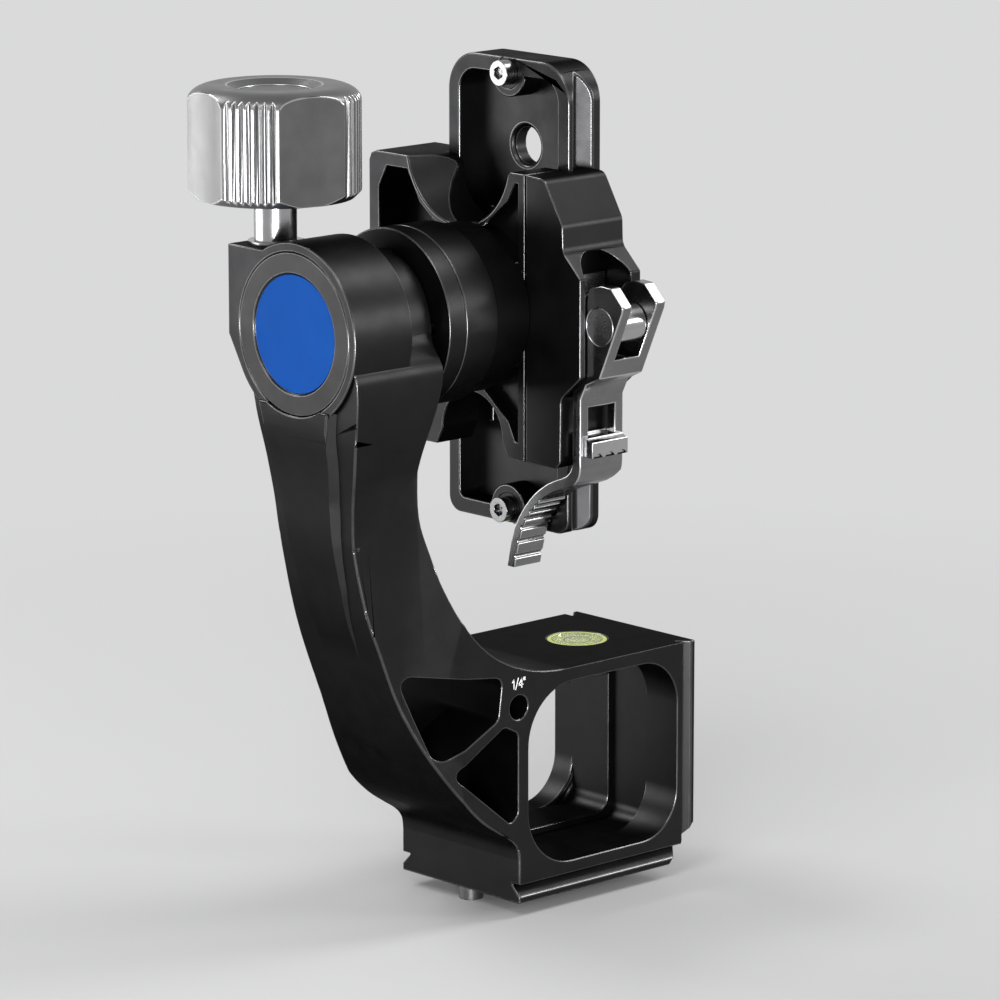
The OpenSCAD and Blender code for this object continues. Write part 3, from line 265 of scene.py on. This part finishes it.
def rounded(node, width, share=None, mat=None, angle=28, flat=0.6):
    """A copy of a CAD node with its flat faces joined and its outer edges rounded.

    width is in millimetres, and share gives each edge's part of it. Edges sharper than angle degrees are
    rounded, and faces within flat degrees of each other are joined.
    """
    bm = bmesh.new()
    bm.from_mesh(frame["nodes"][node].data)
    bmesh.ops.remove_doubles(bm, verts=bm.verts, dist=MERGE)
    bmesh.ops.dissolve_limit(
        bm, angle_limit=math.radians(flat), verts=bm.verts, edges=bm.edges, delimit={"NORMAL"}
    )
    weight = bm.edges.layers.float.new("bevel_weight_edge")
    for e in bm.edges:
        turn = e.calc_face_angle(0) if len(e.link_faces) == 2 else 0
        if turn > math.radians(angle):
            e[weight] = (share(e) if share else 1.0) if e.is_convex else 0.0
            e.smooth = e[weight] > 0
        elif turn > CREASE:
            e.smooth = node not in FACETED
    me = bpy.data.meshes.new(node + "_shape")
    bm.to_mesh(me)
    bm.free()
    o = place(node + "_rounded", me)
    dress(o, mat or FINISH[slot_of[node]])
    bevel = o.modifiers.new("edges", "BEVEL")
    bevel.width = width * MM
    bevel.segments = BEVEL_STEPS
    bevel.limit_method = "WEIGHT"
    bevel.use_clamp_overlap = False
    # The bevel faces take the lighter edge tone: partly edge wear, partly a painted highlight along the
    # rims.
    if slot_of[node] in EDGE_WEAR_AND_HIGHLIGHT:
        me.materials.append(EDGE_WEAR_AND_HIGHLIGHT[slot_of[node]])
        bevel.material = 1
    normals = o.modifiers.new("normals", "WEIGHTED_NORMAL")
    normals.mode = "FACE_AREA"
    normals.weight = NORMAL_WEIGHT
    normals.keep_sharp = True
    for p in me.polygons:
        p.use_smooth = True
    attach(o, body_of[node])
    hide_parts(node)


NONE, LITTLE, MOST, ALL = 0.0, 0.3, 0.7, 1.0

# the arm's outer edge line and the half width of its grip panel, by height, in millimetres
ARM_LINE = [(15, -3), (17, -6.2), (20, -10.6), (24.5, -15.3), (31, -20.2), (39, -25.2), (49.4, -30.4),
            (60.2, -34.8), (77.5, -40.1), (92.6, -42.5), (109.4, -46.3)]
PANEL_HALF = [(44, 4), (52, 6), (63, 7.8), (74, 9.2), (84, 10), (94, 10.8), (104, 12.4), (114, 14)]
PANEL_DEPTH = 1.5  # how far in from the outer line the panel's edges lie
OUTER_BAND = 2.2  # how near the outer line an edge of the arm's sides has to be
OUTER_SIDE = 8
UNDER_HUB = [(-45, -23), (9, math.inf), (104, 125)]  # along x, out from the middle, and in height
LEVEL_SLOPE = 0.4  # rise over length below which an edge counts as level
FOOT_BAND, FOOT_NEAR, FOOT_TOP = 0.6, -15, 18  # round the foot's near left corner


def between(table, z):
    """A value read off a table of heights and values, or None outside it."""
    for (z0, x0), (z1, x1) in zip(table, table[1:]):
        if z0 <= z <= z1:
            return x0 + (x1 - x0) * (z - z0) / (z1 - z0)
    return None


def arm_share(e):
    """The share of the rounding at an edge of the arm.

    The outer line and the foot's near corner have all of it, the level edges under the hub little, and the
    panel's outline none.
    """
    mid = (e.verts[0].co + e.verts[1].co) / 2 / MM
    x, side, z = mid.x + FRAME_X, abs(mid.y), mid.z
    line = between(ARM_LINE, z)
    panel = between(PANEL_HALF, z)
    if line is not None and panel is not None and x < line + PANEL_DEPTH and side < panel:
        return NONE
    level = abs(e.verts[0].co.z - e.verts[1].co.z) < LEVEL_SLOPE * e.calc_length()
    if level and all(a < v < b for v, (a, b) in zip((x, side, z), UNDER_HUB)):
        return LITTLE
    if line is not None and side > OUTER_SIDE and abs(x - line) < OUTER_BAND:
        return ALL
    if abs(x) < FOOT_BAND and mid.y < FOOT_NEAR and z < FOOT_TOP:
        return ALL
    return MOST


rounded("arm", 0.45, arm_share, angle=38, flat=0.3)
for node, width, mat in [
    ("clamp_body", 0.3, None), ("moving_jaw", 0.3, None), ("lens_plate", 0.4, None), ("lever", 0.3, LEVER),
    ("knob", 0.2, None), ("hub_cap", 0.3, None), ("tilt_flange", 0.3, None), ("clamp_hub", 0.3, None),
    ("lock_slider", 0.2, None), ("lever_pin", 0.2, PIN), ("foot_stop_screws", 0.12, SCREW),
    ("plate_stop_screws", 0.12, SCREW), ("level_cup", 0.15, None),
]:
    rounded(node, width, mat=mat)


def mesh_piece(name, bm, mat, body):
    """An added piece that rides on a body."""
    me = bpy.data.meshes.new(name)
    bm.to_mesh(me)
    bm.free()
    o = place(name, me)
    dress(o, mat)
    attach(o, body)


# thread-size mark above the side thread: a generic 1/4", as strokes in millimetres

STROKES = [
    [(-1.75, 1.45), (-1.3, 1.95), (-1.3, 0)],
    [(-0.8, -0.2), (0.0, 2.15)],
    [(1.0, 0), (1.0, 1.95), (0.1, 0.6), (1.35, 0.6)],
    [(1.6, 2.1), (1.6, 1.55)],
    [(1.95, 2.1), (1.95, 1.55)],
]
MARK_PLACE = (-0.4, -19, 48.6)
MARK_HALF = 0.13  # half a stroke's width
MARK_RISE = 0.015  # the paint's height above the face


def mark():
    """Flat bars along the strokes, half sunk in the arm's near face."""
    px, py, pz = MARK_PLACE
    bm = bmesh.new()
    for line in STROKES:
        for (x0, z0), (x1, z1) in zip(line, line[1:]):
            n = Vector((z0 - z1, x1 - x0)).normalized() * MARK_HALF
            d = Vector((x1 - x0, z1 - z0)).normalized() * MARK_HALF * 0.9
            corners = [(x0 - d.x + n.x, z0 - d.y + n.y), (x0 - d.x - n.x, z0 - d.y - n.y),
                       (x1 + d.x - n.x, z1 + d.y - n.y), (x1 + d.x + n.x, z1 + d.y + n.y)]
            front, rear = [[bm.verts.new(at(px + x, py + side * MARK_RISE, pz + z)) for x, z in corners]
                           for side in (-1, 1)]
            bm.faces.new(front)
            bm.faces.new(rear[::-1])
            for k in range(4):
                bm.faces.new((front[k], rear[k], rear[(k + 1) % 4], front[(k + 1) % 4]))
    bmesh.ops.recalc_face_normals(bm, faces=bm.faces)
    return bm


mesh_piece("thread_mark", mark(), PAINT, "arm_body")

# rings on the level

RING_AROUND, RING_SIDES = 72, 8
UP = Vector((0, 0, 1))


def ring(centre, major, minor):
    """A flat-lying ring, its radii in millimetres."""
    bm = bmesh.new()
    rows = []
    for i in range(RING_AROUND):
        a = 2 * math.pi * i / RING_AROUND
        out = Vector((math.cos(a), math.sin(a), 0))
        rows.append([
            bm.verts.new(centre + (out * (major + minor * math.cos(b)) + UP * minor * math.sin(b)) * MM)
            for b in (2 * math.pi * k / RING_SIDES for k in range(RING_SIDES))
        ])
    for i, row in enumerate(rows):
        following = rows[(i + 1) % RING_AROUND]
        for k in range(RING_SIDES):
            j = (k + 1) % RING_SIDES
            bm.faces.new((row[k], following[k], following[j], row[j])).smooth = True
    return bm


fluid_box = frame["nodes"]["level_fluid"].bound_box
low, high = [Vector(f(c[k] for c in fluid_box) for k in range(3)) for f in (min, max)]
level_top = Vector(((low.x + high.x) / 2, (low.y + high.y) / 2, high.z + 0.05 * MM))
mesh_piece("level_ring", ring(level_top, 2.9, 0.14), DARK, body_of["level_fluid"])
mesh_piece("level_rim_ring", ring(level_top, 5.3, 0.16), LEVEL_BODY, body_of["level_fluid"])

# floor and world: lit near the object, and an even pale background further out

PALE = (0.7, 0.7, 0.705, 1)
FLOOR_SIZE = 8
FLOOR_Z = cad_low[2] - 0.02 * MM
FADE_START, FADE_END = 0.14, 0.4  # metres from the middle, where the floor turns into background
WORLD_LIGHT = 0.3


def seen_share(nt):
    """1 for rays that show the background: from the camera, a reflection or through glass."""
    path = nt.nodes.new("ShaderNodeLightPath")
    share = path.outputs["Is Camera Ray"]
    for kind in ("Is Glossy Ray", "Is Transmission Ray"):
        share = scalar_math(nt, "ADD", share, path.outputs[kind], clamp=True)
    return share


def mix(nt, share, first, second, output):
    blend = nt.nodes.new("ShaderNodeMixShader")
    nt.links.new(share, blend.inputs["Fac"])
    nt.links.new(first.outputs[0], blend.inputs[1])
    nt.links.new(second.outputs[0], blend.inputs[2])
    nt.links.new(blend.outputs[0], output.inputs["Surface"])


bpy.ops.mesh.primitive_plane_add(size=FLOOR_SIZE, location=(0, 0, FLOOR_Z))
floor = bpy.context.object
floor.name = "floor"
m, nt, bsdf = node_tree("floor_paint")
bsdf.inputs["Roughness"].default_value = 0.6
floor_coords = object_coords(nt)
colour(nt, bsdf, noise(nt, floor_coords, 3), (0.5, 0.5, 0.504), (0.52, 0.52, 0.524))
far = to_range(nt, vector_math(nt, "LENGTH", floor_coords), 0, 1, FADE_START, FADE_END)
even = nt.nodes.new("ShaderNodeEmission")
even.inputs["Color"].default_value = PALE
mix(nt, scalar_math(nt, "MULTIPLY", far, seen_share(nt)), bsdf, even, nt.nodes["Material Output"])
dress(floor, m)
floor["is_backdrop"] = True

world = bpy.data.worlds.new("studio")
bpy.context.scene.world = world
world.use_nodes = True
wt = world.node_tree
wt.nodes.clear()
lit = wt.nodes.new("ShaderNodeBackground")
lit.inputs["Color"].default_value = (1, 1, 1, 1)
lit.inputs["Strength"].default_value = WORLD_LIGHT
seen = wt.nodes.new("ShaderNodeBackground")
seen.inputs["Color"].default_value = PALE
seen.inputs["Strength"].default_value = 1.0
mix(wt, seen_share(wt), lit, seen, wt.nodes.new("ShaderNodeOutputWorld"))

# lamps: soft boxes, with the way from the object, watts, width, height and distance in metres

MIDDLE = Vector((0, 0, 0.09))

for name, way, power, width, height, distance in [
    ("top_right", (0.62, -0.22, 0.72), 4.2, 0.3, 0.5, 1.0),
    ("top_back", (-0.2, 0.7, 0.66), 4.5, 0.5, 0.3, 1.0),
    ("left_back", (-0.68, 0.72, -0.05), 1.5, 0.4, 0.2, 0.5),
    ("front", (-0.71, -0.68, -0.06), 4.2, 0.2, 0.14, 0.55),
    ("front_right", (0.66, -0.7, 0.24), 3.2, 0.3, 0.2, 1.0),
    ("top_left", (-0.6, -0.25, 0.75), 3.0, 0.4, 0.4, 1.0),
]:
    light = bpy.data.lights.new(name, "AREA")
    light.energy = power
    light.shape = "RECTANGLE"
    light.size = width
    light.size_y = height
    o = place(name, light)
    o.visible_camera = False
    o.location = MIDDLE + Vector(way).normalized() * distance
    o.rotation_euler = (MIDDLE - o.location).to_track_quat("-Z", "Y").to_euler()

# camera, fitted to the photograph

AZIMUTH, ELEVATION = math.radians(-43.0), math.radians(12.2)
DISTANCE = 1217.6  # millimetres
AIM = at(0, 0, 90)
AIM_RIGHT, AIM_DOWN = 8.7, 2.9  # from AIM to the picture's middle, in millimetres

back = Vector((math.sin(AZIMUTH) * math.cos(ELEVATION), -math.cos(AZIMUTH) * math.cos(ELEVATION),
               math.sin(ELEVATION)))
right = Vector((math.cos(AZIMUTH), math.sin(AZIMUTH), 0))
up = back.cross(right)
lens = bpy.data.cameras.new("camera")
lens.sensor_width = 36
lens.lens = 202.25
lens.clip_end = 50
cam = place("camera", lens)
spot = AIM + right * AIM_RIGHT * MM - up * AIM_DOWN * MM + back * DISTANCE * MM
cam.matrix_world = Matrix.Translation(spot) @ Matrix((right, up, back)).transposed().to_4x4()
bpy.context.scene.camera = cam
bpy.context.scene.view_settings.view_transform = "Standard"

low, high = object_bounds()
